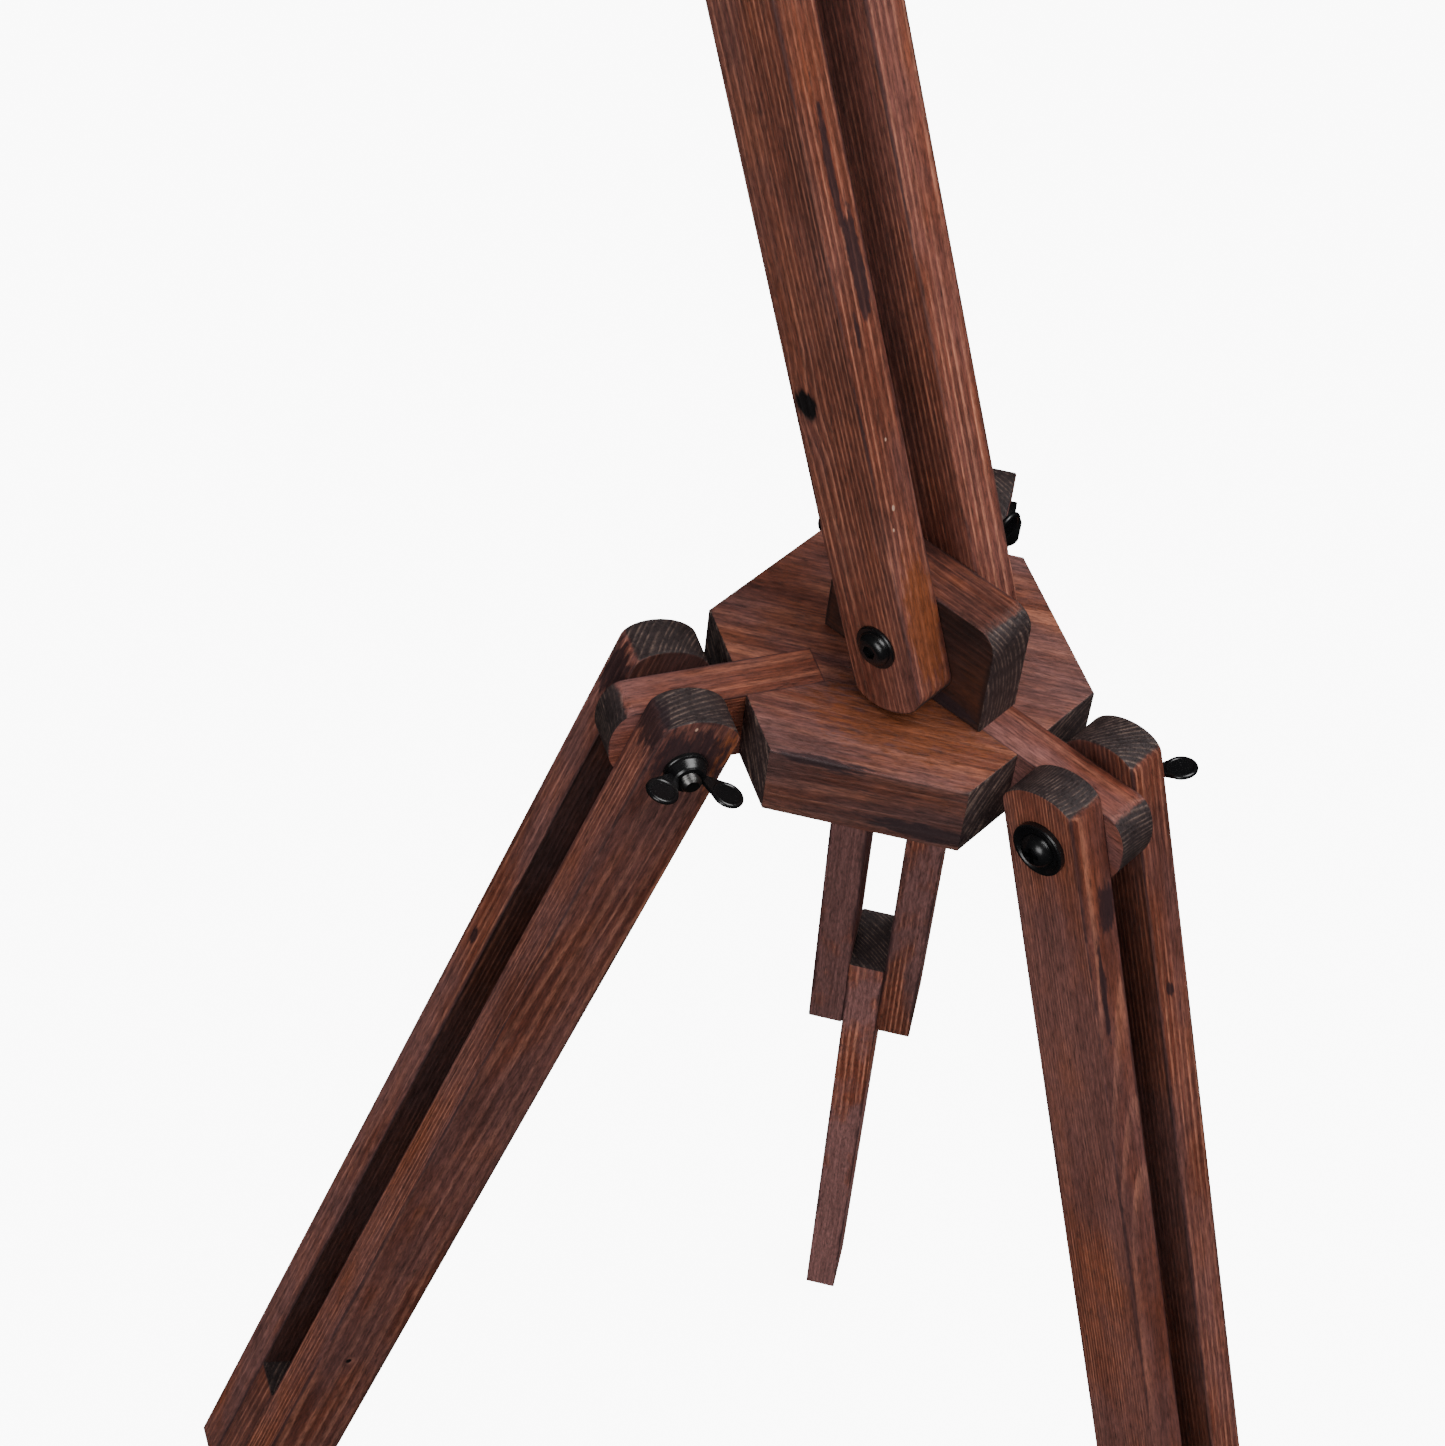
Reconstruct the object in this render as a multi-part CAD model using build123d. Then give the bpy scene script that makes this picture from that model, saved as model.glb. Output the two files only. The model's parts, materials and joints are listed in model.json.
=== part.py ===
"""Wooden tripod stand with three folding legs and a tilting twin-slat mast.

Millimetres and degrees.  +Z is up and the feet stand on Z = 0, with the origin under the middle of
the whole stand.  The front leg points along -Y and the mast leans back, towards +Y.  One leg is spread
a little less than the others, so the hub stands very slightly out of level.
"""
import os
from math import cos, radians, sin
from build123d import *

# Timber stock: one planed softwood section makes the slats, bars and hub arms.
STOCK_WIDTH = 32.0
STOCK_THICKNESS = 18.0
MAST_STOCK_THICKNESS = 19.0
EASED_EDGE = 0.8
END_DEPTH = 10.0
JOINT_CLEARANCE = 0.1

# Hub plate, a regular hexagon with one arm let into every second side.
PLATE_APOTHEM = 64.0
PLATE_THICKNESS = STOCK_WIDTH
ARM_WIDTH = STOCK_THICKNESS - 2 * JOINT_CLEARANCE
ARM_INNER_RADIUS = 33.0
ARM_OUTER_RADIUS = 116.0
LEG_PIVOT_RADIUS = 92.1
LEG_PIVOT_HEIGHT = 18.5

# Legs, by the direction each one points from the hub, and how far each is spread.
LEGS = {"front": -90.0, "left": 150.0, "right": 30.0}
LEG_SPREAD = {"front": 19.2, "left": 19.2, "right": 16.2}
LEG_LENGTH = 943.6
SLAT_ABOVE_PIVOT = 24.4
SLAT_BELOW_PIVOT = 500.6
LEG_OVERLAP = 77.0

# Mast and the block that carries it.
BLOCK_LENGTH = 76.0
BLOCK_HEIGHT = 48.0
BLOCK_CORNER = 9.0
BLOCK_FORWARD = 9.0
MAST_GAP = 22.0
MAST_PIVOT_HEIGHT = 30.0
MAST_TILT = 22.5
MAST_BELOW_PIVOT = 28.5
MAST_ABOVE_PIVOT = 497.0
SPACER_LENGTH = 60.0
SPACER_CENTRE = 380.0
HEAD_BORE_BELOW_TOP = 28.5
HEAD_BORE_RADIUS = 4.2

# M8 hardware.
BOLT_RADIUS = 4.0
RUNNING_BORE_RADIUS = BOLT_RADIUS + 0.05
THREAD_PITCH = 1.25
THREAD_DEPTH = 0.55
THREAD_LENGTH = 18.75
LEG_BOLT_LENGTH = 65.0
MAST_BOLT_LENGTH = 68.0
HEAD_RADIUS = 7.0
HEAD_HEIGHT = 4.4
HEAD_CROWN_RADIUS = HEAD_RADIUS / 2
HEAD_SHOULDER = (0.83 * HEAD_RADIUS, 2.2)
HEAD_EDGE = 0.6
FLANGE_RADIUS = 8.75
FLANGE_THICKNESS = 1.3
FLANGE_EDGE = 0.4
SOCKET_ACROSS_FLATS = 5.0
SOCKET_DEPTH = 2.6
CROSS_LENGTH = 6.6
CROSS_WIDTH = 1.9
TIP_CHAMFER = 0.8
WASHER_RADIUS = 11.0
WASHER_THICKNESS = 1.6
WASHER_RIM_HEIGHT = 2.6
WASHER_RIM_WIDTH = 1.2
WASHER_DISH_WIDTH = 1.4
WASHER_BORE_RADIUS = 4.2
NUT_WASHER_RADIUS = 8.5
NUT_WASHER_CHAMFER = 0.3

# Wing nut: a low tapered boss with two dished ears.
NUT_BASE_RADIUS = 8.0
NUT_TOP_RADIUS = 6.5
NUT_HEIGHT = 4.4
NUT_SKIRT = 0.8
NUT_CHAMFER = 0.6
NUT_LIFT = 0.1
EAR_RADIUS = 6.4
EAR_CENTRE_OUT = 13.6
EAR_CENTRE_UP = 10.6
EAR_THICKNESS = 1.5
EAR_RIM_RADIUS = 1.1
EAR_NECK_INSIDE = 1.5
EAR_NECK_BOTTOM = 1.0
LEG_NUT_TURN = {"front": 96.0, "left": 90.0, "right": 84.0}
MAST_NUT_TURN = 25.0

# Hidden fixings: dowels across the glued joints, screws up into the mast block.
DOWEL_RADIUS = 4.0
DOWEL_BITE = 10.0
DOWEL_INSET = 18.0
SCREW_RADIUS = 2.25
SCREW_HEAD_RADIUS = 4.5
SCREW_HEAD_HEIGHT = 3.0
SCREW_LENGTH = 50.0
SCREW_POINT = 5.0
SCREW_OFFSET = 18.0

# Worked out from the above.
HALF_WIDTH = STOCK_WIDTH / 2
LEG_GAP_HALF = STOCK_THICKNESS / 2


def foot_point(name):
    """Where a leg's centreline ends, from the centre of the plate's underside, in the hub's own frame."""
    azimuth = radians(LEGS[name])
    spread = radians(LEG_SPREAD[name])
    reach = LEG_PIVOT_RADIUS + LEG_LENGTH * sin(spread)
    drop = LEG_LENGTH * cos(spread)
    return Vector(reach * cos(azimuth), reach * sin(azimuth), LEG_PIVOT_HEIGHT - drop)


def hub_frame():
    """Where the hub's own frame comes to when all three feet stand on the ground."""
    front, left, right = [foot_point(name) for name in LEGS]
    up = (right - front).cross(left - front).normalized()
    ground = Plane(origin=front, x_dir=Vector(0, 1, 0).cross(up), z_dir=up)
    return ground.location.inverse()


def arm_frame(name):
    """As hub_frame, turned so that +X runs out along the named leg's arm."""
    return hub_frame() * Rot(0, 0, LEGS[name])


def leg_frame(name):
    """Origin on the leg's pivot, +Z up along the leg, +Y along the pivot, +X outwards."""
    return arm_frame(name) * Pos(LEG_PIVOT_RADIUS, 0, LEG_PIVOT_HEIGHT) * Rot(0, -LEG_SPREAD[name], 0)


def mast_frame():
    """Origin on the mast's pivot, +Z up along the mast, +Y along the pivot bolt, to its nut."""
    pivot = hub_frame() * Pos(0, -BLOCK_FORWARD, PLATE_THICKNESS + MAST_PIVOT_HEIGHT)
    return pivot * Rot(-MAST_TILT, 0, 0) * Rot(0, 0, -90)


def prism(face, y_low, y_high):
    """FACE, drawn in X and Z, filling the space from Y_LOW to Y_HIGH."""
    return Pos(0, y_high, 0) * extrude(Plane.XZ * face, amount=y_high - y_low)


def cylinder_along_y(radius, y_low, y_high, x=0.0, z=0.0):
    """A round pin or hole parallel to Y."""
    return Pos(x, 0, z) * prism(Circle(radius), y_low, y_high)


def eased(board):
    """The board with the outline edges of its two broad faces slightly rounded."""
    edges = ShapeList()
    for side in board.faces().filter_by(Axis.Y):
        edges += side.outer_wire().edges()
    return fillet(edges, EASED_EDGE)


def end_arc(centre_z, upwards=True):
    """Half of the flattened curve that rounds a board's end."""
    start = 0 if upwards else 180
    return EllipticalCenterArc((0, centre_z), HALF_WIDTH, END_DEPTH, start, arc_size=180)


def slat_outline(below, above, round_foot):
    """Board outline about a pivot at the origin, with a rounded top and a square or rounded foot."""
    shoulder = above - END_DEPTH
    foot = END_DEPTH - below if round_foot else -below
    left = Line((-HALF_WIDTH, shoulder), (-HALF_WIDTH, foot))
    right = Line((HALF_WIDTH, foot), (HALF_WIDTH, shoulder))
    base = end_arc(foot, upwards=False) if round_foot else Line((-HALF_WIDTH, foot), (HALF_WIDTH, foot))
    return make_face(end_arc(shoulder) + left + base + right)


def dowel_heights(overlap_top, overlap_bottom):
    """Where two dowels cross a glued overlap."""
    return (overlap_top - DOWEL_INSET, overlap_bottom + DOWEL_INSET)


def dowel_set(gap_half, heights):
    """Two blind dowels through the middle piece and part way into the slats beside it."""
    reach = gap_half + DOWEL_BITE
    return [cylinder_along_y(DOWEL_RADIUS, -reach, reach, z=z) for z in heights]


def cut(board, tools):
    """BOARD less every tool in turn."""
    for tool in tools:
        board -= tool
    return board


# Hub ---------------------------------------------------------------------------------------------

def make_arm():
    """Hub arm in arm_frame: square inner end, rounded outer end with the leg's pivot hole."""
    shoulder = ARM_OUTER_RADIUS - END_DEPTH
    tip = EllipticalCenterArc((shoulder, HALF_WIDTH), END_DEPTH, HALF_WIDTH, -90, arc_size=180)
    body = Polyline(
        (shoulder, STOCK_WIDTH), (ARM_INNER_RADIUS, STOCK_WIDTH), (ARM_INNER_RADIUS, 0), (shoulder, 0))
    arm = prism(make_face(tip + body), -ARM_WIDTH / 2, ARM_WIDTH / 2)
    return arm - cylinder_along_y(
        RUNNING_BORE_RADIUS, -ARM_WIDTH, ARM_WIDTH, LEG_PIVOT_RADIUS, LEG_PIVOT_HEIGHT)


def make_plate(screws):
    """Hexagonal plate in hub_frame, slotted for the arms and countersunk for the screws."""
    outline = RegularPolygon(PLATE_APOTHEM, 6, major_radius=False)
    plate = extrude(outline, amount=PLATE_THICKNESS)
    rims = plate.edges().filter_by(Plane.XY)
    plate = fillet(rims, EASED_EDGE)
    for azimuth in LEGS.values():
        slot = Box(PLATE_APOTHEM, ARM_WIDTH, PLATE_THICKNESS, align=(Align.MIN, Align.CENTER, Align.MIN))
        plate -= Rot(0, 0, azimuth) * Pos(ARM_INNER_RADIUS, 0, 0) * slot
    return cut(plate, screws)


def make_block():
    """Upright block in arm_frame of the front leg, standing on the plate."""
    outline = Pos(0, BLOCK_HEIGHT / 2) * Rectangle(BLOCK_LENGTH, BLOCK_HEIGHT)
    outline = fillet(outline.vertices().group_by(Axis.Y)[-1], BLOCK_CORNER)
    half = MAST_GAP / 2 - JOINT_CLEARANCE
    block = eased(prism(outline, -half, half))
    block -= cylinder_along_y(RUNNING_BORE_RADIUS, -half, half, z=MAST_PIVOT_HEIGHT)
    return Pos(BLOCK_FORWARD, 0, PLATE_THICKNESS) * block


def make_screw(x):
    """Countersunk wood screw in arm_frame, driven up from the underside of the plate."""
    shank_top = SCREW_LENGTH - SCREW_POINT
    outline = Polyline(
        (0, 0), (SCREW_HEAD_RADIUS, 0), (SCREW_RADIUS, SCREW_HEAD_HEIGHT), (SCREW_RADIUS, shank_top),
        (0, SCREW_LENGTH), (0, 0))
    screw = revolve(Plane.XZ * make_face(outline), axis=Axis.Z)
    return Pos(x, 0, 0) * screw


def screw_recess(x):
    """Square drive recess of the screw at X."""
    side = SCREW_RADIUS
    return Pos(x, 0, 0) * Box(side, side, SCREW_HEAD_HEIGHT, align=(Align.CENTER, Align.CENTER, Align.MIN))


# Slats and bars ----------------------------------------------------------------------------------

def make_slat(side, inner, outer, outline, bores, dowels):
    """One outer slat on the +Y or -Y side, bored for bolts and blind-bored for dowels."""
    low, high = (inner, outer) if side > 0 else (-outer, -inner)
    slat = eased(prism(outline, low, high))
    for radius, z in bores:
        slat -= cylinder_along_y(radius, low, high, z=z)
    return cut(slat, dowels)


def make_bar(dowels):
    """Lower leg bar, square at the top and left long at the foot."""
    length = LEG_LENGTH + STOCK_WIDTH + LEG_OVERLAP - SLAT_BELOW_PIVOT
    top = LEG_OVERLAP - SLAT_BELOW_PIVOT
    bar = Pos(0, 0, top - length / 2) * Box(STOCK_WIDTH, 2 * LEG_GAP_HALF, length)
    bar = fillet(bar.edges().filter_by(Axis.Z), EASED_EDGE)
    return cut(bar, dowels)


def make_spacer(dowels):
    """Block that holds the mast's two slats apart near their top."""
    outline = Pos(0, SPACER_CENTRE) * Rectangle(STOCK_WIDTH, SPACER_LENGTH)
    return cut(eased(prism(outline, -MAST_GAP / 2, MAST_GAP / 2)), dowels)


# Hardware ----------------------------------------------------------------------------------------

def bolt_outline(length, flanged):
    """Half section of a button-head bolt: head below Y = 0, threaded tip at Y = LENGTH."""
    rim_y = -FLANGE_THICKNESS if flanged else -HEAD_EDGE
    crown = (HEAD_CROWN_RADIUS, -HEAD_HEIGHT)
    shoulder = (HEAD_SHOULDER[0], rim_y - HEAD_SHOULDER[1])
    dome = ThreePointArc(crown, shoulder, (HEAD_RADIUS, rim_y))
    rest = [(HEAD_RADIUS, rim_y)]
    if flanged:
        bevel = FLANGE_RADIUS - FLANGE_EDGE
        rest += [(bevel, rim_y), (FLANGE_RADIUS, rim_y + FLANGE_EDGE), (FLANGE_RADIUS, 0)]
    else:
        rest += [(HEAD_RADIUS, 0)]
    rest += [(BOLT_RADIUS, 0)]
    start = length - THREAD_LENGTH
    for turn in range(round(THREAD_LENGTH / THREAD_PITCH)):
        y = start + turn * THREAD_PITCH
        rest += [(BOLT_RADIUS, y), (BOLT_RADIUS - THREAD_DEPTH, y + THREAD_PITCH / 2)]
    core = BOLT_RADIUS - THREAD_DEPTH
    rest += [(core, length - TIP_CHAMFER), (core - TIP_CHAMFER, length), (0, length), (0, -HEAD_HEIGHT)]
    return make_face(Line((0, -HEAD_HEIGHT), crown) + dome + Polyline(*rest))


def drive_recess(flanged):
    """Recess in a bolt's head: a hexagon in the flanged kind, a cross in the plain kind."""
    if flanged:
        return RegularPolygon(SOCKET_ACROSS_FLATS / 2, 6, major_radius=False)
    bar = Rectangle(CROSS_LENGTH, CROSS_WIDTH)
    return bar + Rot(0, 0, 90) * bar


def make_bolt(y_low, length, flanged=False):
    """Bolt along +Y whose head bears at Y_LOW."""
    bolt = revolve(bolt_outline(length, flanged), axis=Axis.Y)
    recess = prism(drive_recess(flanged), 0, SOCKET_DEPTH)
    return Pos(0, y_low, 0) * (bolt - Pos(0, -HEAD_HEIGHT, 0) * recess)


def make_cup_washer(seat):
    """Cup washer for a bolt head, lying on the board's face at Y = SEAT and opening away from the board."""
    rim_inner = WASHER_RADIUS - WASHER_RIM_WIDTH
    outline = make_face(Polyline(
        (WASHER_BORE_RADIUS, 0), (WASHER_RADIUS, 0), (WASHER_RADIUS, WASHER_RIM_HEIGHT),
        (rim_inner, WASHER_RIM_HEIGHT), (rim_inner - WASHER_DISH_WIDTH, WASHER_THICKNESS),
        (WASHER_BORE_RADIUS, WASHER_THICKNESS), (WASHER_BORE_RADIUS, 0)))
    washer = revolve(outline, axis=Axis.Y)
    rim = washer.edges().filter_by(GeomType.CIRCLE).group_by(Axis.Y)[-1]
    washer = fillet(rim, WASHER_RIM_WIDTH * 0.45)
    return Pos(0, seat, 0) * Rot(0, 0, 180) * washer


def make_flat_washer(seat):
    """Flat washer for a nut, lying on the board's face at Y = SEAT."""
    edge = WASHER_THICKNESS - NUT_WASHER_CHAMFER
    outline = make_face(Polyline(
        (WASHER_BORE_RADIUS, 0), (NUT_WASHER_RADIUS, 0), (NUT_WASHER_RADIUS, edge),
        (NUT_WASHER_RADIUS - NUT_WASHER_CHAMFER, WASHER_THICKNESS),
        (WASHER_BORE_RADIUS, WASHER_THICKNESS), (WASHER_BORE_RADIUS, 0)))
    return Pos(0, seat, 0) * revolve(outline, axis=Axis.Y)


def make_ear():
    """One ear in the XY plane, out along X and up the nut's axis along Y: a thin web with a round rim."""
    web = Pos(EAR_CENTRE_OUT, EAR_CENTRE_UP) * Circle(EAR_RADIUS - EAR_RIM_RADIUS)
    root_x = NUT_TOP_RADIUS - EAR_NECK_INSIDE
    lower = (EAR_CENTRE_OUT + 0.4 * EAR_RADIUS, EAR_CENTRE_UP - 0.85 * EAR_RADIUS)
    upper = (EAR_CENTRE_OUT - 0.8 * EAR_RADIUS, EAR_CENTRE_UP + 0.5 * EAR_RADIUS)
    root_low = (root_x, EAR_NECK_BOTTOM)
    neck = make_face(Polyline(root_low, lower, upper, (root_x, NUT_HEIGHT), root_low))
    ear = extrude(web + neck, amount=EAR_THICKNESS / 2, both=True)
    rim = Torus(EAR_RADIUS - EAR_RIM_RADIUS, EAR_RIM_RADIUS)
    return ear + Pos(EAR_CENTRE_OUT, EAR_CENTRE_UP, 0) * rim


def make_wing_nut(y_low, turn):
    """Wing nut on the Y axis, just clear of its seat at Y_LOW, its ears turned from the Z axis by TURN."""
    outline = Polyline(
        (0, 0), (NUT_BASE_RADIUS, 0), (NUT_BASE_RADIUS, NUT_SKIRT),
        (NUT_TOP_RADIUS, NUT_HEIGHT - NUT_CHAMFER), (NUT_TOP_RADIUS - NUT_CHAMFER, NUT_HEIGHT),
        (0, NUT_HEIGHT), (0, 0))
    boss = revolve(make_face(outline), axis=Axis.Y)
    nut = boss + make_ear() + Rot(0, 180, 0) * make_ear()
    nut -= cylinder_along_y(RUNNING_BORE_RADIUS, 0, NUT_HEIGHT)
    return Pos(0, y_low + NUT_LIFT, 0) * Rot(0, 90 + turn, 0) * nut


# Assemblies --------------------------------------------------------------------------------------

def hub_parts():
    """Every piece of the hub, by node name."""
    screw_places = [BLOCK_FORWARD - SCREW_OFFSET, BLOCK_FORWARD + SCREW_OFFSET]
    front = Rot(0, 0, LEGS["front"])
    screws = [front * make_screw(x) for x in screw_places]
    driven = [front * (make_screw(x) - screw_recess(x)) for x in screw_places]
    arm = make_arm()
    parts = {"hub_plate": hub_frame() * make_plate(screws)}
    for name in LEGS:
        parts[f"hub_arm_{name}"] = arm_frame(name) * arm
    parts["mast_block"] = hub_frame() * cut(front * make_block(), screws)
    parts["mast_block_screws"] = [hub_frame() * screw for screw in driven]
    return parts


def leg_parts(name):
    """Every piece of one leg, by node name."""
    frame = leg_frame(name)
    heights = dowel_heights(LEG_OVERLAP - SLAT_BELOW_PIVOT, -SLAT_BELOW_PIVOT)
    dowels = dowel_set(LEG_GAP_HALF, heights)
    outline = slat_outline(SLAT_BELOW_PIVOT, SLAT_ABOVE_PIVOT, round_foot=False)
    bores = [(RUNNING_BORE_RADIUS, 0)]
    outer = LEG_GAP_HALF + STOCK_THICKNESS
    nut_seat = outer + WASHER_THICKNESS
    ground_side = 2 * LEG_LENGTH
    below_ground = Pos(0, 0, -ground_side / 2) * Box(ground_side, ground_side, ground_side)
    return {
        f"leg_{name}_slat_nut_side": frame * make_slat(1, LEG_GAP_HALF, outer, outline, bores, dowels),
        f"leg_{name}_slat_head_side": frame * make_slat(-1, LEG_GAP_HALF, outer, outline, bores, dowels),
        f"leg_{name}_lower_bar": frame * make_bar(dowels) - below_ground,
        f"leg_{name}_dowels": [frame * dowel for dowel in dowels],
        f"leg_{name}_pivot_bolt": frame * make_bolt(-nut_seat, LEG_BOLT_LENGTH),
        f"leg_{name}_head_washer": frame * make_cup_washer(-outer),
        f"leg_{name}_nut_washer": frame * make_flat_washer(outer),
        f"leg_{name}_wing_nut": frame * make_wing_nut(nut_seat, LEG_NUT_TURN[name]),
    }


def mast_parts():
    """Every piece of the mast, by node name."""
    frame = mast_frame()
    inner = MAST_GAP / 2
    outer = inner + MAST_STOCK_THICKNESS
    heights = dowel_heights(SPACER_CENTRE + SPACER_LENGTH / 2, SPACER_CENTRE - SPACER_LENGTH / 2)
    dowels = dowel_set(inner, heights)
    outline = slat_outline(MAST_BELOW_PIVOT, MAST_ABOVE_PIVOT, round_foot=True)
    bores = [(RUNNING_BORE_RADIUS, 0), (HEAD_BORE_RADIUS, MAST_ABOVE_PIVOT - HEAD_BORE_BELOW_TOP)]
    return {
        "mast_slat_nut_side": frame * make_slat(1, inner, outer, outline, bores, dowels),
        "mast_slat_head_side": frame * make_slat(-1, inner, outer, outline, bores, dowels),
        "mast_spacer": frame * make_spacer(dowels),
        "mast_dowels": [frame * dowel for dowel in dowels],
        "mast_pivot_bolt": frame * make_bolt(-outer, MAST_BOLT_LENGTH, flanged=True),
        "mast_nut_washer": frame * make_flat_washer(outer),
        "mast_wing_nut": frame * make_wing_nut(outer + WASHER_THICKNESS, MAST_NUT_TURN),
    }


def main():
    """Write one STEP file per node, with the whole stand centred over the origin."""
    os.makedirs("parts", exist_ok=True)
    parts = hub_parts()
    for name in LEGS:
        parts.update(leg_parts(name))
    parts.update(mast_parts())
    nodes = {}
    for name, shape in parts.items():
        nodes[name] = Compound(children=shape) if isinstance(shape, list) else shape
    middle = Compound(list(nodes.values())).bounding_box().center()
    for name, node in nodes.items():
        centred = Pos(-middle.X, -middle.Y, 0) * node
        centred.label = name
        export_step(centred, f"parts/{name}.step")


main()
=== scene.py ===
"""Looks for the wooden tripod stand: stained softwood boards, black hardware, camera, light and floor.

Distances in the shaders are millimetres in each board's own space: X across its width, Y through its
thickness and Z along its grain, measured from the middle of the board.
"""
import json
from dataclasses import dataclass, replace
from math import radians, sqrt

import bpy
from mathutils import Matrix, Vector

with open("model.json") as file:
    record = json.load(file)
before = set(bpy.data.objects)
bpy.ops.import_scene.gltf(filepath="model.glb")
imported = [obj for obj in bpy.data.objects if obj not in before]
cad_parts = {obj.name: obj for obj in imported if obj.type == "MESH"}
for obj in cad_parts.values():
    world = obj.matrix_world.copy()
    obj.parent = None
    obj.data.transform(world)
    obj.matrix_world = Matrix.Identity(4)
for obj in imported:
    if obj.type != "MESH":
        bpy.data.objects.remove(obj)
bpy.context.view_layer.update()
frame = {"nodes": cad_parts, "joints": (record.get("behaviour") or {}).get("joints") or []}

LEGS = ("front", "left", "right")
MM = 1000.0

# Stain colours; the purple one also paints shade.
EARLY_WOOD = (0.112, 0.0280, 0.0150)
LATE_WOOD = (0.340, 0.122, 0.072)
COOL_STAIN = (0.135, 0.056, 0.051)
THIN_STAIN = (0.245, 0.062, 0.015)
DEEP_STAIN = (0.015, 0.0050, 0.0042)
PURPLE_STAIN_AND_SHADE = (0.021, 0.0095, 0.0125)
END_WOOD = (0.027, 0.0165, 0.0165)
END_LINE = (0.120, 0.078, 0.062)
KNOT_WOOD = (0.005, 0.0025, 0.0028)
FILLER = (0.42, 0.25, 0.18)
DOWEL_WOOD = (0.28, 0.13, 0.065)

# Metal colours.
BLACK_PAINT = (0.0050, 0.0050, 0.0055)
SCUFFED_PAINT = (0.026, 0.026, 0.028)
BARE_STEEL = (0.16, 0.155, 0.15)

# Relief, in metres.
GRAIN_DEPTH = 0.00030
FIBRE_DEPTH = 0.00010
PAINT_DEPTH = 0.00004

BARE_TIP = 6.0          # length of the bolt's end, in millimetres, that has lost its paint
FLOOR_SIZE = 40.0
FLOOR_GLOW = 9.0
SURROUND = 0.55         # strength of the white surround


# Shader graph -------------------------------------------------------------------------------------

class Graph:
    """A material's node tree, with a short call for each kind of node that the looks use."""

    def __init__(self, tree):
        self.tree = tree

    def node(self, kind, inputs, **settings):
        made = self.tree.nodes.new(kind)
        for key, value in settings.items():
            setattr(made, key, value)
        for socket, value in inputs.items():
            self.feed(made.inputs[socket], value)
        return made

    def feed(self, socket, value):
        if isinstance(value, bpy.types.NodeSocket):
            self.tree.links.new(value, socket)
        else:
            socket.default_value = value

    def math(self, operation, a, b=0.0, c=0.0):
        return self.node("ShaderNodeMath", {0: a, 1: b, 2: c}, operation=operation).outputs[0]

    def vector(self, operation, a, b=(0, 0, 0), c=(0, 0, 0)):
        made = self.node("ShaderNodeVectorMath", {0: a, 1: b, 2: c}, operation=operation)
        return made.outputs["Value" if operation in ("LENGTH", "DOT_PRODUCT") else "Vector"]

    def split(self, vector):
        return self.node("ShaderNodeSeparateXYZ", {0: vector}).outputs[:3]

    def step(self, value, low, high):
        """0 below LOW, 1 above HIGH and smooth between; LOW over HIGH turns it round."""
        inputs = {"Value": value, "From Min": min(low, high), "From Max": max(low, high)}
        inputs.update({"To Min": float(low > high), "To Max": float(low < high)})
        return self.node("ShaderNodeMapRange", inputs, interpolation_type="SMOOTHSTEP").outputs[0]

    def noise(self, place, stretch, seed, detail=3.0, roughness=0.5, colour=False):
        """Noise that repeats every 1 / STRETCH along each axis, as a number or as three."""
        moved = self.vector("MULTIPLY_ADD", place, stretch, (seed * 7.31, seed * 3.17, seed * 5.73))
        inputs = {"Vector": moved, "Scale": 1.0, "Detail": detail, "Roughness": roughness}
        return self.node("ShaderNodeTexNoise", inputs).outputs[1 if colour else 0]

    def mix(self, amount, a, b, blend="MIX"):
        a, b = [(*value, 1.0) if isinstance(value, tuple) else value for value in (a, b)]
        made = self.node("ShaderNodeMix", {0: amount}, data_type="RGBA", blend_type=blend)
        self.feed(made.inputs[6], a)
        self.feed(made.inputs[7], b)
        return made.outputs[2]

    def tint(self, colour, low, high, value):
        """COLOUR times a number that runs from LOW to HIGH as VALUE runs from 0 to 1."""
        factor = self.math("MULTIPLY_ADD", value, high - low, low)
        made = self.node("ShaderNodeVectorMath", {0: colour, "Scale": factor}, operation="SCALE")
        return made.outputs[0]


def new_material(name):
    """An empty material with a Principled shader, as (material, graph, shader)."""
    material = bpy.data.materials.new(name)
    material.use_nodes = True
    graph = Graph(material.node_tree)
    return material, graph, material.node_tree.nodes["Principled BSDF"]


def add_bump(graph, shader, height, depth):
    """Raise the surface by HEIGHT times DEPTH metres."""
    bump = graph.node("ShaderNodeBump", {"Height": height, "Distance": depth, "Strength": 1.0})
    graph.feed(shader.inputs["Normal"], bump.outputs[0])


def dress(node, material):
    """Give a CAD node one material."""
    data = frame["nodes"][node].data
    data.materials.clear()
    data.materials.append(material)


# Board spaces -------------------------------------------------------------------------------------

def joint(name):
    """The frame's joint of that name."""
    return next(j for j in frame["joints"] if j["name"] == name)


def axes_at(origin, across, along):
    """Space at ORIGIN with Y along ACROSS and Z along ALONG."""
    across = across.normalized()
    along = (along - across * along.dot(across)).normalized()
    turned = Matrix((across.cross(along), across, along)).transposed()
    return Matrix.Translation(origin) @ turned.to_4x4()


def main_face(node, across):
    """The direction, square to ACROSS, that the largest flat area of a node faces."""
    sums = {}
    for polygon in frame["nodes"][node].data.polygons:
        if abs(polygon.normal.dot(across)) < 0.05:
            key = tuple(round(part, 1) for part in polygon.normal)
            sums[key] = sums.get(key, Vector()) + polygon.normal * polygon.area
    return max(sums.values(), key=lambda total: total.length).normalized()


def pivot_space(hinge, slat):
    """Space of a leg or the mast: origin on its pivot, Y along the pivot to the nut, Z up the boards."""
    across = -Vector(joint(hinge)["axis"])
    along = main_face(slat, across).cross(across)
    if along.z < 0:
        along.negate()
    return axes_at(Vector(joint(hinge)["pos_m"]), across, along)


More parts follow.
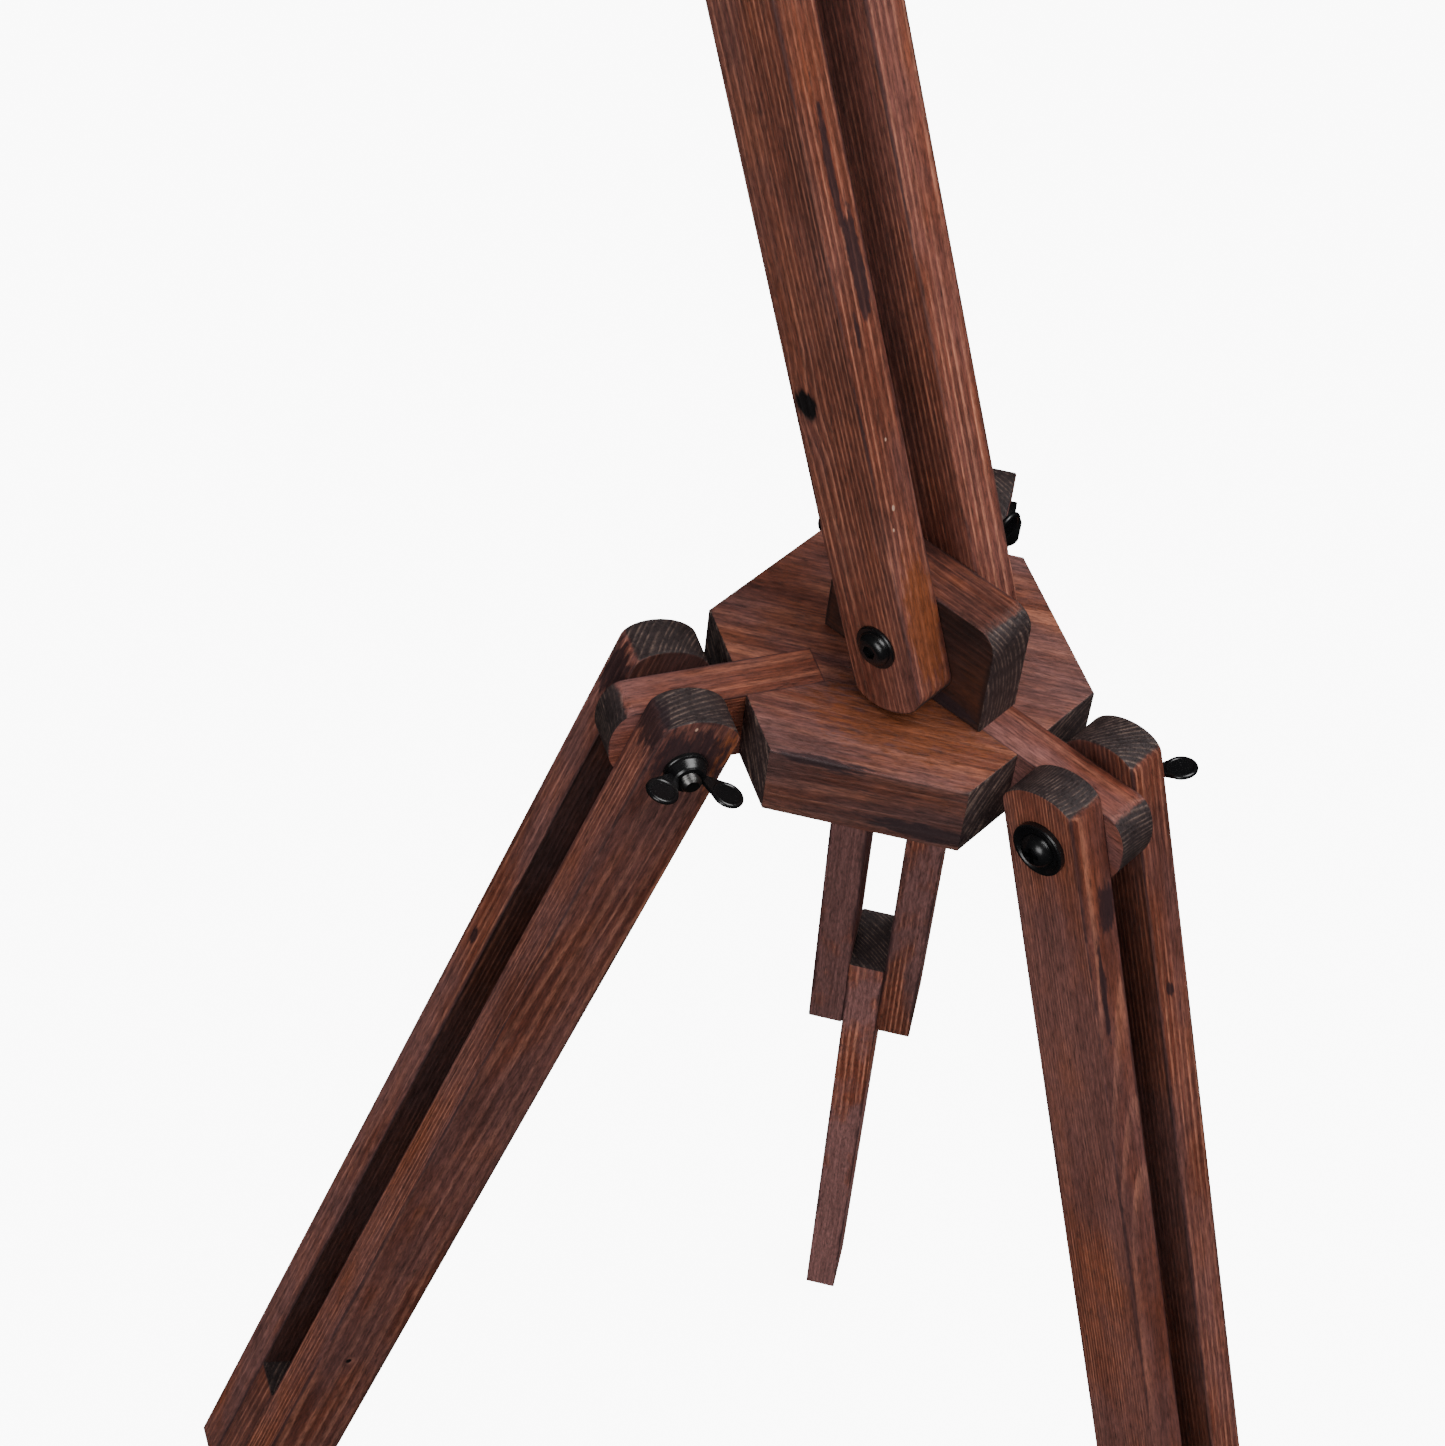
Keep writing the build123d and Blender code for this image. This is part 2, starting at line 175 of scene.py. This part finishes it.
def hub_space():
    """Space of the hub: origin in the middle of the plate, Z up through it, Y away from the front leg."""
    pivots = [Vector(joint(f"leg_{name}_hinge")["pos_m"]) for name in LEGS]
    middle = sum(pivots, Vector()) / 3
    up = (pivots[2] - pivots[0]).cross(pivots[1] - pivots[0])
    return axes_at(middle, middle - pivots[0], up)


def turned_space(space, across, along):
    """SPACE turned so that Y runs along ACROSS and Z along ALONG, both given in SPACE."""
    turn = space.to_3x3()
    return axes_at(space.translation, turn @ Vector(across), turn @ Vector(along))


def local_box(node, space):
    """Middle and half size, in millimetres, of a node in SPACE."""
    inverse = space.inverted()
    places = [inverse @ vertex.co * MM for vertex in frame["nodes"][node].data.vertices]
    low = Vector([min(place[i] for place in places) for i in range(3)])
    high = Vector([max(place[i] for place in places) for i in range(3)])
    return (low + high) / 2, (high - low) / 2


def place_in(graph, space, middle):
    """Where the surface is and which way it faces, in millimetres from MIDDLE of SPACE."""
    coordinates = graph.node("ShaderNodeTexCoord", {})
    inverse = space.inverted()
    turn = inverse.to_euler()
    place = graph.node("ShaderNodeMapping", {
        "Vector": coordinates.outputs["Object"],
        "Location": inverse.translation * MM - middle,
        "Rotation": turn,
        "Scale": (MM, MM, MM)})
    facing = graph.node("ShaderNodeMapping", {
        "Vector": coordinates.outputs["Normal"], "Rotation": turn}, vector_type="NORMAL")
    return place.outputs[0], facing.outputs[0]


# Wood ---------------------------------------------------------------------------------------------

@dataclass(frozen=True)
class Timber:
    """How one board was cut, how it took the stain, and the light and shade painted on its faces."""
    seed: float = 1.0
    pith: tuple = (-60.0, 45.0)     # heart of the tree, across and through the board
    ring: float = 2.0               # growth of one year
    wander: float = 2.0             # how far the rings stray along the board
    lean: float = 0.006             # slope of the heart to the board
    lines: float = 1.0              # strength of the late-wood lines
    tone: float = 1.0               # lightness of the stain
    warm: float = 0.25              # share of thin, orange stain
    cool: float = 0.35              # share of greyish stain
    deep: float = 0.35              # share of deep stain
    edge: float = 2.0               # width of the dark stain along the edges
    knots: tuple = ()               # (place, size) of each knot
    stains_and_shade: tuple = ()              # (place, reach) of each dark patch of stain; on the mast's block, painted shade
    nicks: tuple = ()               # (place, size) of each speck of pale filler
    pale: tuple = ()                # (place, reach) of each thin, orange patch
    faces: tuple = ()               # (direction, lightness) of each face made lighter or darker: painted light and shade


def growth_rings(graph, place, timber):
    """0 in the soft early wood, rising to 1 along each line of hard late wood."""
    drift = graph.noise(place, (0.010, 0.010, 0.0032), timber.seed, 2.0, 0.45, colour=True)
    reach = 2 * timber.wander
    shift = (-timber.pith[0] - timber.wander, -timber.pith[1] - timber.wander, 0.0)
    bent = graph.vector("MULTIPLY_ADD", drift, (reach, reach, 0.0), place)
    bent = graph.vector("ADD", bent, shift)
    x, y, z = graph.split(bent)
    x = graph.math("MULTIPLY_ADD", z, timber.lean, x)
    flat = graph.node("ShaderNodeCombineXYZ", {0: x, 1: y}).outputs[0]
    radius = graph.vector("LENGTH", flat)
    along_radius = graph.node("ShaderNodeCombineXYZ", {0: radius}).outputs[0]
    uneven = graph.noise(along_radius, (0.11, 0.0, 0.0), timber.seed + 3, 2.0)
    phase = graph.math("MULTIPLY_ADD", uneven, 3.0, graph.math("DIVIDE", radius, timber.ring))
    for middle, size in timber.knots:
        swirl = (2.6 * size, 2.6 * size, 5.0 * size)
        near = graph.step(distance_to(graph, place, middle, swirl), 1.0, 0.0)
        phase = graph.math("ADD", near, phase)
    part = graph.math("FRACT", phase)
    return graph.math("MULTIPLY", graph.step(part, 0.45, 0.84), graph.step(part, 1.0, 0.90))


def distance_to(graph, place, middle, reach):
    """Distance from MIDDLE, counted as 1 at REACH along each axis."""
    scale = tuple(1 / part for part in reach)
    offset = tuple(-a * b for a, b in zip(middle, scale))
    return graph.vector("LENGTH", graph.vector("MULTIPLY_ADD", place, scale, offset))


def box_edge(graph, place, half):
    """Distance to the nearest edge of a board, on its surface."""
    far = graph.vector("SUBTRACT", tuple(half), graph.vector("ABSOLUTE", place))
    x, y, z = graph.split(far)
    inner = graph.math("MINIMUM", graph.math("MAXIMUM", x, y), z)
    return graph.math("MAXIMUM", graph.math("MINIMUM", x, y), inner)


def plate_edge(graph, place, half):
    """Distance to the nearest edge of the hexagonal plate, on its surface."""
    apothem = half[2]
    sides = []
    for side in ((0.0, 0.0, 1.0), (0.866, 0.0, 0.5), (0.866, 0.0, -0.5)):
        sides.append(graph.math("ABSOLUTE", graph.vector("DOT_PRODUCT", place, side)))
    ordered = graph.math("MAXIMUM", graph.math("MAXIMUM", sides[0], sides[1]), sides[2])
    rim = graph.math("SUBTRACT", apothem, ordered)
    y = graph.split(place)[1]
    face = graph.math("SUBTRACT", half[1], graph.math("ABSOLUTE", y))
    return graph.math("MAXIMUM", rim, face)


def spot(graph, place, middle, reach, seed, ragged=0.5):
    """1 inside a ragged patch of the surface, 0 outside it."""
    rough = graph.noise(place, (0.5, 0.5, 0.12), seed, 3.0, 0.6)
    far = distance_to(graph, place, middle, reach)
    return graph.step(graph.math("MULTIPLY_ADD", rough, 2 * ragged, far), 1.15 + ragged, 0.75 + ragged)


def fibres(graph, place, seed):
    """Fine short fibres, longer streaks and dark pores, each from 0 to 1."""
    fine = graph.step(graph.noise(place, (1.15, 1.15, 0.17), seed + 1, 5.0, 0.8), 0.30, 0.70)
    long = graph.step(graph.noise(place, (0.85, 0.85, 0.016), seed + 2, 3.0, 0.6), 0.25, 0.75)
    pores = graph.step(graph.noise(place, (0.9, 0.9, 0.11), seed + 7, 5.0, 0.75), 0.56, 0.68)
    return fine, long, pores


def stain_colour(graph, place, rings, timber, grain):
    """Colour of the long-grain faces before edges, ends and marks, and the two noises that vary it."""
    fine, long, pores = grain
    cloud = graph.noise(place, (0.028, 0.028, 0.009), timber.seed + 4, 4.0, 0.6)
    blotch = graph.noise(place, (0.050, 0.050, 0.022), timber.seed + 5, 5.0, 0.65)
    patchy = graph.step(graph.noise(place, (0.10, 0.10, 0.012), timber.seed + 8, 3.0, 0.6), 0.30, 0.66)
    strength = graph.math("MULTIPLY_ADD", patchy, 0.75 * timber.lines, 0.15 * timber.lines)
    colour = graph.mix(graph.math("MULTIPLY", rings, strength), EARLY_WOOD, LATE_WOOD)
    cool = graph.math("MULTIPLY", graph.step(cloud, 0.36, 0.60), timber.cool)
    colour = graph.mix(cool, colour, COOL_STAIN)
    thin = graph.math("MULTIPLY", graph.step(blotch, 0.44, 0.74), timber.warm)
    colour = graph.mix(thin, colour, THIN_STAIN)
    colour = graph.tint(colour, 0.56 * timber.tone, 1.52 * timber.tone, fine)
    colour = graph.tint(colour, 0.72, 1.30, long)
    colour = graph.mix(graph.math("MULTIPLY", pores, 0.50), colour, DEEP_STAIN)
    deep = graph.math("MULTIPLY", graph.step(blotch, 0.54, 0.28), timber.deep)
    return graph.mix(deep, colour, DEEP_STAIN), cloud, blotch


def soaked_edges(graph, place, half, timber, blotch, edge_of):
    """1 where stain has soaked into the edges, in a band of uneven width."""
    width = graph.math("MULTIPLY_ADD", blotch, 5.0 * timber.edge, -1.75 * timber.edge)
    width = graph.math("MAXIMUM", width, 0.3)
    depth = graph.math("DIVIDE", edge_of(graph, place, half), width)
    return graph.math("MULTIPLY", graph.step(depth, 1.0, 0.2), 0.7)


def end_grain(graph, place, facing, rings, timber, fine):
    """How far the surface is end grain, with a ragged border, and the colour of end grain."""
    worn = graph.noise(place, (0.16, 0.16, 0.16), timber.seed + 14, 5.0, 0.7)
    endwise = graph.math("ABSOLUTE", graph.split(facing)[2])
    end = graph.step(graph.math("MULTIPLY_ADD", worn, 0.5, endwise), 0.60, 0.82)
    line = graph.math("MULTIPLY", rings, graph.step(worn, 0.35, 0.70))
    colour = graph.tint(graph.mix(line, END_WOOD, END_LINE), 0.45, 1.60, fine)
    return end, graph.tint(colour, 0.45, 1.55, worn)


def add_marks(graph, place, timber, fine, colour, dents):
    """Lay orange patches, dark patches of stain and of painted shade, knots and filler over a board's
    colour and relief.
    """
    for index, (centre, reach) in enumerate(timber.pale):
        mask = spot(graph, place, centre, reach, timber.seed + 12 + index, 1.0)
        orange = graph.tint(THIN_STAIN, 0.30, 0.95, fine)
        colour = graph.mix(graph.math("MULTIPLY", mask, 0.75), colour, orange)
    for index, (centre, reach) in enumerate(timber.stains_and_shade):
        mask = spot(graph, place, centre, reach, timber.seed + 6 + index, 1.0)
        colour = graph.mix(graph.math("MULTIPLY", mask, 0.85), colour, PURPLE_STAIN_AND_SHADE)
    for index, (centre, size) in enumerate(timber.knots):
        mask = spot(graph, place, centre, (size, size, 1.15 * size), timber.seed + 9 + index)
        colour = graph.mix(mask, colour, KNOT_WOOD)
        dents = graph.math("SUBTRACT", dents, mask)
    for centre, size in timber.nicks:
        mask = graph.step(distance_to(graph, place, centre, (size, size, 1.6 * size)), 1.1, 0.7)
        colour = graph.mix(mask, colour, FILLER)
    return colour, dents


def wood(name, space, middle, half, timber, edge_of=box_edge):
    """Stained softwood whose rings, fibres and stain run through the board."""
    material, graph, shader = new_material(name)
    place, facing = place_in(graph, space, middle)
    rings = growth_rings(graph, place, timber)
    grain = fibres(graph, place, timber.seed)
    fine, _, pores = grain
    colour, cloud, blotch = stain_colour(graph, place, rings, timber, grain)
    edges = soaked_edges(graph, place, half, timber, blotch, edge_of)
    colour = graph.mix(edges, colour, PURPLE_STAIN_AND_SHADE)
    end, end_colour = end_grain(graph, place, facing, rings, timber, fine)
    colour = graph.mix(end, colour, end_colour)
    # Painted light and shade: faces turned along each listed direction are made lighter or darker by its
    # factor.
    for direction, lightness in timber.faces:
        towards = graph.step(graph.vector("DOT_PRODUCT", facing, direction), 0.75, 0.95)
        colour = graph.tint(colour, 1.0, lightness, towards)

    dents = graph.math("MULTIPLY_ADD", rings, 0.40, graph.math("MULTIPLY", fine, 0.35))
    dents = graph.math("MULTIPLY_ADD", pores, -0.5, dents)
    colour, dents = add_marks(graph, place, timber, fine, colour, dents)

    graph.feed(shader.inputs["Base Color"], colour)
    gloss = graph.math("MULTIPLY_ADD", cloud, 0.25, 0.36)
    graph.feed(shader.inputs["Roughness"], graph.math("MULTIPLY_ADD", fine, 0.14, gloss))
    shader.inputs["Specular IOR Level"].default_value = 0.40
    add_bump(graph, shader, dents, GRAIN_DEPTH)
    return material


def dress_board(node, space, timber, edge_of=box_edge):
    """Cut a board's look out of its own timber, with its marks placed from the origin of SPACE."""
    middle, half = local_box(node, space)

    def inside(marks):
        return tuple((Vector(centre) - middle, size) for centre, size in marks)

    own = replace(
        timber, knots=inside(timber.knots), stains_and_shade=inside(timber.stains_and_shade), nicks=inside(timber.nicks),
        pale=inside(timber.pale))
    dress(node, wood(f"wood_{node}", space, middle, half, own, edge_of))


def dowel_wood(name, space):
    """Plain stained dowel."""
    material, graph, shader = new_material(name)
    place, _ = place_in(graph, space, Vector())
    fibre = graph.noise(place, (1.2, 0.05, 1.2), 41.0, 3.0, 0.6)
    colour = graph.tint(graph.mix(fibre, EARLY_WOOD, DOWEL_WOOD), 0.8, 1.2, fibre)
    graph.feed(shader.inputs["Base Color"], colour)
    graph.feed(shader.inputs["Roughness"], graph.math("MULTIPLY_ADD", fibre, 0.2, 0.45))
    add_bump(graph, shader, fibre, FIBRE_DEPTH)
    return material


# Metal --------------------------------------------------------------------------------------------

def black_steel(name, space, bare_from=None):
    """Glossy black paint with fine scuffs, worn to bare steel beyond BARE_FROM along the pivot."""
    material, graph, shader = new_material(name)
    place, _ = place_in(graph, space, Vector())
    grit = graph.noise(place, (1.1, 1.1, 1.1), 51.0, 4.0, 0.65)
    haze = graph.noise(place, (0.16, 0.16, 0.16), 52.0, 3.0, 0.5)
    scuff = graph.step(grit, 0.60, 0.78)
    colour = graph.mix(scuff, BLACK_PAINT, SCUFFED_PAINT)
    roughness = graph.math("MULTIPLY_ADD", scuff, 0.25, graph.math("MULTIPLY_ADD", haze, 0.20, 0.16))
    if bare_from is not None:
        along = graph.math("MULTIPLY_ADD", grit, 1.5, graph.split(place)[1])
        worn = graph.step(along, bare_from, bare_from + 1.5)
        colour = graph.mix(worn, colour, BARE_STEEL)
        graph.feed(shader.inputs["Metallic"], worn)
        roughness = graph.math("MULTIPLY_ADD", worn, 0.12, roughness)
    graph.feed(shader.inputs["Base Color"], colour)
    graph.feed(shader.inputs["Roughness"], roughness)
    shader.inputs["Specular IOR Level"].default_value = 0.6
    add_bump(graph, shader, grit, PAINT_DEPTH)
    return material


# The stand's boards -------------------------------------------------------------------------------

def dress_hub(space):
    """Plate, three arms, the mast's block and its screws."""
    plate = turned_space(space, (0, 0, 1), (0.5, -sqrt(0.75), 0))
    # Painted light and shade: faces darkens one rim face of the plate and lightens two others.
    plate_timber = Timber(
        seed=11, pith=(28, -75), ring=3.4, wander=4, lean=0.05, lines=0.8, tone=0.94, warm=0.45,
        cool=0.85, deep=0.45, edge=2.6, knots=(((-3.0, 16, 60.0), 1.5), ((2.5, 16, 63.0), 1.6)),
        nicks=(((-4.5, 16, 59.2), 0.8),), pale=(((-34, 16, 10), (20, 5, 38)),),
        stains_and_shade=(((-64, 16, -16), (3, 6, 20)), ((-64, -12, 24), (5, 4, 26))),
        faces=(((-1, 0, 0), 0.66), ((-0.5, 0, -0.866), 1.8), ((-0.5, 0, 0.866), 1.35)))
    dress_board("hub_plate", plate, plate_timber, plate_edge)
    for index, name in enumerate(LEGS):
        pivot = space.inverted() @ Vector(joint(f"leg_{name}_hinge")["pos_m"])
        out = Vector((pivot.x, pivot.y, 0)).normalized()
        arm = turned_space(space, (out.y, -out.x, 0), out)
        timber = Timber(
            seed=21 + index, pith=(-90, 15), ring=1.6, wander=1.0, lines=0.35, tone=1.25, warm=0.2,
            cool=0.8, deep=0.3, edge=1.0)
        dress_board(f"hub_arm_{name}", arm, timber)
    block = turned_space(space, (-1, 0, 0), (0, -1, 0))
    # Painted shade: the two dark patches on the block's side and the darkening of both sides to 0.30
    # stand for the shadow beside the mast's slats.
    block_timber = Timber(
        seed=31, pith=(-14, 60), ring=2.0, wander=3, lean=0.03, lines=0.5, tone=0.80, warm=0.8,
        cool=0.3, deep=0.7, edge=2.4, pale=(((-3, 11, 27), (7, 2, 12)), ((24, 0, 6), (2, 9, 22))),
        stains_and_shade=(((-18, 11, 26), (8, 3, 24)), ((14, 11, 30), (7, 3, 14))),
        faces=(((0, 1, 0), 0.30), ((0, -1, 0), 0.30)))
    dress_board("mast_block", block, block_timber)
    dress("mast_block_screws", black_steel("steel_screws", space))


def dress_pivot(prefix, space):
    """Bolt, washers and wing nut of one pivot."""
    paint = black_steel(f"steel_{prefix}", space)
    for part in ("head_washer", "nut_washer", "wing_nut"):
        if f"{prefix}_{part}" in frame["nodes"]:
            dress(f"{prefix}_{part}", paint)
    bolt = f"{prefix}_pivot_bolt"
    middle, half = local_box(bolt, space)
    bare_from = middle.y + half.y - BARE_TIP
    dress(bolt, black_steel(f"steel_{prefix}_bolt", space, bare_from))


def dress_leg(name, looks):
    """Two slats, the lower bar, the dowels and the hardware of one leg."""
    prefix = f"leg_{name}"
    space = pivot_space(f"{prefix}_hinge", f"{prefix}_slat_nut_side")
    for part, timber in looks.items():
        dress_board(f"{prefix}_{part}", space, timber)
    dress(f"{prefix}_dowels", dowel_wood(f"wood_{prefix}_dowels", space))
    dress_pivot(prefix, space)


def dress_mast(looks):
    """Two slats, the spacer, the dowels and the hardware of the mast."""
    space = pivot_space("mast_hinge", "mast_slat_nut_side")
    for part, timber in looks.items():
        dress_board(f"mast_{part}", space, timber)
    dress("mast_dowels", dowel_wood("wood_mast_dowels", space))
    dress_pivot("mast", space)


def dress_all():
    """Every CAD node, board by board."""
    straight = Timber(pith=(-72, 52), ring=2.0, wander=1.6)
    flamed = Timber(pith=(-75, 3), ring=1.5, wander=4.5, lean=0.012)
    dress_hub(hub_space())
    # Painted light and shade: the faces entries below make single faces of a slat lighter or darker; the
    # inner faces in the gap between a leg's two slats are darkened most.
    dress_leg("front", {
        "slat_head_side": replace(
            flamed, seed=101, ring=1.3, tone=1.08, deep=0.2, cool=0.6, faces=(((1, 0, 0), 0.82),),
            stains_and_shade=(((16, -21, -66), (4, 1.6, 26)), ((16, -14, -30), (4, 5, 10)))),
        "slat_nut_side": replace(
            straight, seed=102, ring=1.7, cool=0.6, stains_and_shade=(((16, 16, -90), (4, 2.2, 3.4)),),
            faces=(((0, -1, 0), 0.62),)),
        "lower_bar": replace(straight, seed=103)})
    # Painted light and shade: faces darkens the head-side slat's inner face and the near slat's wide
    # face, and lightens their narrow faces.
    dress_leg("left", {
        "slat_nut_side": replace(
            flamed, seed=104, pith=(25, -60), ring=2.2, tone=0.90, deep=0.3, cool=0.6,
            knots=(((2, 27, -372), 1.3),), faces=(((1, 0, 0), 1.30), ((0, 1, 0), 0.80)),
            pale=(((-11, 27, 6), (5, 4, 14)),), nicks=(((4, 27, 20), 0.6),),
            # The first dark patch darkens the wood around the wing nut.
            stains_and_shade=(((0, 27, 5), (15, 4, 14)), ((16, 18, 14), (4, 10, 14)))),
        "slat_head_side": replace(
            straight, seed=105, tone=1.0, cool=0.8,
            stains_and_shade=(((16, -19, -146), (4, 2.2, 4)), ((16, -18, 4), (4, 10, 12))),
            faces=(((0, 1, 0), 0.30), ((1, 0, 0), 1.15))),
        "lower_bar": replace(straight, seed=106)})
    # Painted light: the rear leg's boards are made paler and greyer, standing in for the light the floor
    # bounces onto them.
    dress_leg("right", {
        "slat_nut_side": replace(straight, seed=107, tone=1.25, cool=1.6, warm=0.0, deep=0.1),
        "slat_head_side": replace(straight, seed=108, tone=1.2, cool=1.6, warm=0.0, deep=0.1),
        "lower_bar": replace(straight, seed=109, tone=1.75, cool=1.6, warm=0.0, deep=0.0)})
    dress_mast({
        "slat_head_side": replace(
            straight, seed=111, lines=1.0, tone=0.97, knots=(((-9.5, -30, 98), 5.4),),
            stains_and_shade=(
                ((16, -20, 186), (6, 1.8, 30)), ((16, -17, 150), (6, 3.4, 20)),
                ((16, -23, 128), (6, 1.2, 7))),
            nicks=(((16, -23, 58), 0.8), ((16, -25, 50), 0.5), ((16, -20, 84), 0.5)),
            pale=(((16, -20, 8), (8, 8, 26)),)),
        # Painted shade: faces darkens this slat's inner face a little.
        "slat_nut_side": replace(
            straight, seed=112, tone=1.15, lines=1.2, deep=0.2, faces=(((0, -1, 0), 0.98),)),
        "spacer": replace(flamed, seed=113)})


# Studio -------------------------------------------------------------------------------------------

def add_floor():
    """Pale floor under the feet."""
    bpy.ops.mesh.primitive_plane_add(size=FLOOR_SIZE, location=(0, 0, -0.0005))
    floor = bpy.context.object
    floor.name = "floor"
    material, _, shader = new_material("floor")
    shader.inputs["Base Color"].default_value = (0.86, 0.86, 0.87, 1)
    shader.inputs["Roughness"].default_value = 0.7
    shader.inputs["Emission Color"].default_value = (1, 1, 1, 1)
    shader.inputs["Emission Strength"].default_value = FLOOR_GLOW
    floor.data.materials.append(material)
    floor.visible_diffuse = False
    floor.visible_glossy = False


def add_area_light(name, place, aim, size, power):
    """Square soft box of POWER watts at PLACE that faces AIM."""
    light = bpy.data.lights.new(name, "AREA")
    light.size = size
    light.energy = power
    lamp = bpy.data.objects.new(name, light)
    lamp.matrix_world = aimed(Vector(place), Vector(aim))
    bpy.context.scene.collection.objects.link(lamp)
    return lamp


def aimed(place, aim, roll=0.0):
    """Where something stands that looks along its own -Z from PLACE to AIM."""
    turn = (aim - place).to_track_quat("-Z", "Y").to_matrix().to_4x4()
    return Matrix.Translation(place) @ turn @ Matrix.Rotation(roll, 4, "Z")


def add_light():
    """Soft white surround, a large overhead box, a weaker one beside the camera and one behind."""
    world = bpy.data.worlds.new("studio")
    world.use_nodes = True
    world.node_tree.nodes["Background"].inputs[0].default_value = (1, 1, 1, 1)
    world.node_tree.nodes["Background"].inputs[1].default_value = SURROUND
    bpy.context.scene.world = world
    world.cycles_visibility.glossy = False
    hub = (0, 0.09, 0.9)
    add_area_light("overhead", (0.3, -1.0, 3.0), hub, 1.6, 62)
    add_area_light("side", (-2.6, -0.7, 1.7), hub, 1.4, 36)
    back = add_area_light("back", (1.3, 1.5, 2.3), hub, 1.0, 12)
    back.visible_glossy = False


def add_camera():
    """Long lens from the front left, above the hub."""
    camera = bpy.data.cameras.new("camera")
    camera.lens = 84.95
    camera.shift_x = 0.0068
    camera.shift_y = 0.0034
    stand = bpy.data.objects.new("camera", camera)
    place = Vector((-0.776, -0.4175, 1.7948))
    stand.matrix_world = aimed(place, Vector((-0.0494, 0.1353, 0.8667)), radians(7.19))
    bpy.context.scene.collection.objects.link(stand)
    bpy.context.scene.camera = stand


dress_all()
add_floor()
add_light()
add_camera()
